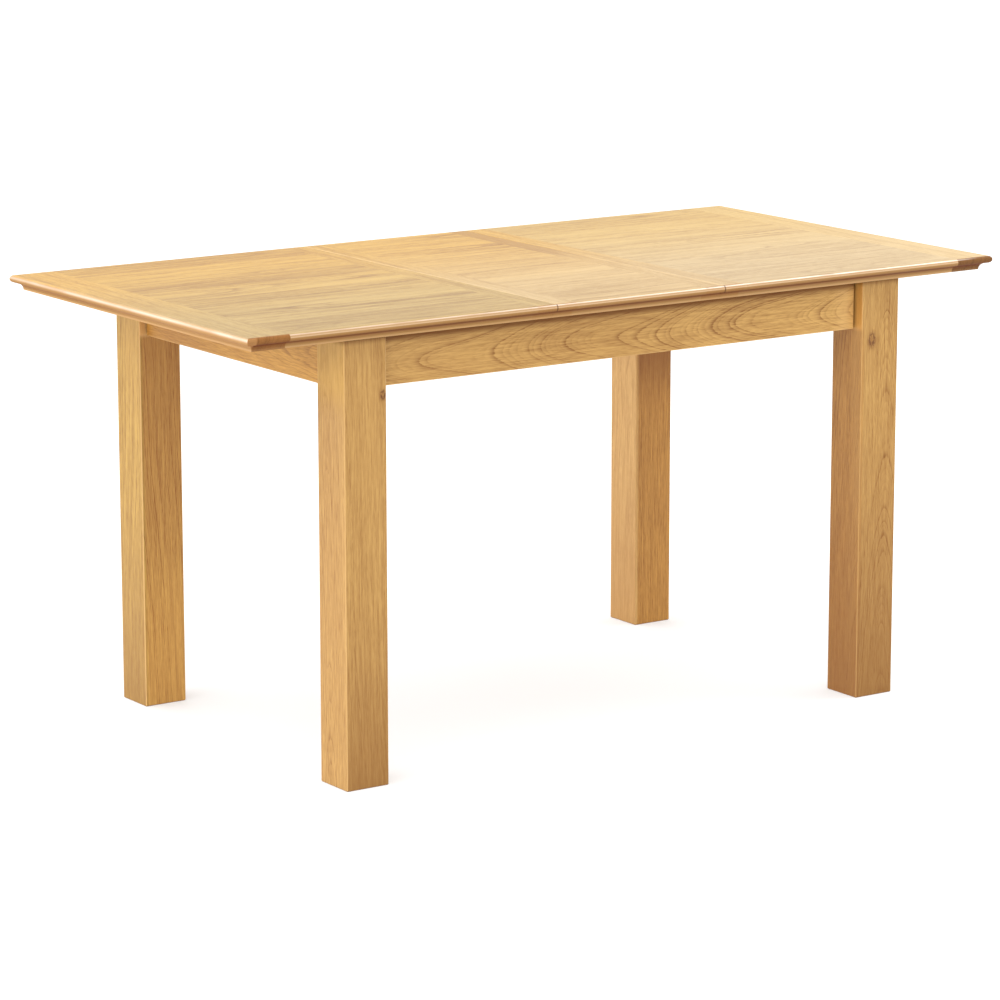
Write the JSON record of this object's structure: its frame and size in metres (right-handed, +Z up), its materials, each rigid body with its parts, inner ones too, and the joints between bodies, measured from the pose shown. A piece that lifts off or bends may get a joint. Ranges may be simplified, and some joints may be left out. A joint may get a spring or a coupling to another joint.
{
  "type": "extending dining table",
  "caption": "Oak dining table on a fixed square-legged frame; the two top halves slide apart on grooved rails and a loose centre leaf drops in between them.",
  "frame": {"origin": "on the floor, under the middle of the table", "axes": "+X along the table's length, +Y to the rear long side, +Z up"},
  "size_m": [1.55, 0.8, 0.78],
  "materials": {
    "oak_top": "satin lacquered oak",
    "oak_frame": "satin lacquered oak",
    "beech": "planed, waxed hardwood",
    "zinc_steel": "bright zinc plate"
  },
  "bodies": {
    "frame": {"leg_front_left": "oak_frame", "leg_front_right": "oak_frame", "leg_rear_right": "oak_frame", "leg_rear_left": "oak_frame", "apron_front": "oak_frame", "apron_rear": "oak_frame", "apron_left": "oak_frame", "apron_right": "oak_frame", "corner_block_front_left": "beech", "corner_block_front_right": "beech", "corner_block_rear_right": "beech", "corner_block_rear_left": "beech", "cross_bearer_left": "beech", "cross_bearer_right": "beech", "slide_rail_front": "beech", "slide_rail_rear": "beech", "corner_block_screws": "zinc_steel", "hanger_bolts": "zinc_steel", "bolt_washers": "zinc_steel", "bolt_nuts": "zinc_steel", "rail_screws": "zinc_steel"},
    "left_top": {"left_end_rail": "oak_top", "left_seam_stile": "oak_top", "left_stave_1": "oak_top", "left_stave_2": "oak_top", "left_stave_3": "oak_top", "left_stave_4": "oak_top", "left_stave_5": "oak_top", "left_stave_6": "oak_top", "left_stave_7": "oak_top", "left_runner_front": "beech", "left_runner_rear": "beech", "left_runner_screws": "zinc_steel"},
    "right_top": {"right_end_rail": "oak_top", "right_seam_stile": "oak_top", "right_stave_1": "oak_top", "right_stave_2": "oak_top", "right_stave_3": "oak_top", "right_stave_4": "oak_top", "right_stave_5": "oak_top", "right_stave_6": "oak_top", "right_stave_7": "oak_top", "right_runner_front": "beech", "right_runner_rear": "beech", "right_runner_screws": "zinc_steel"},
    "leaf": {"leaf_left_stile": "oak_top", "leaf_right_stile": "oak_top", "leaf_stave_1": "oak_top", "leaf_stave_2": "oak_top", "leaf_stave_3": "oak_top", "leaf_stave_4": "oak_top", "leaf_stave_5": "oak_top", "leaf_stave_6": "oak_top", "leaf_stave_7": "oak_top", "leaf_pegs": "beech"}
  },
  "joints": [
    {"name": "left_top_slide", "type": "slide", "parent": "frame", "child": "left_top", "axis": [-1, 0, 0], "range_m": [0, 0.03]},
    {"name": "right_top_slide", "type": "slide", "parent": "frame", "child": "right_top", "axis": [1, 0, 0], "range_m": [0, 0.03]},
    {"name": "leaf_lift", "type": "slide", "parent": "frame", "child": "leaf", "axis": [0, 0, 1], "range_m": [0, 0.25]}
  ]
}
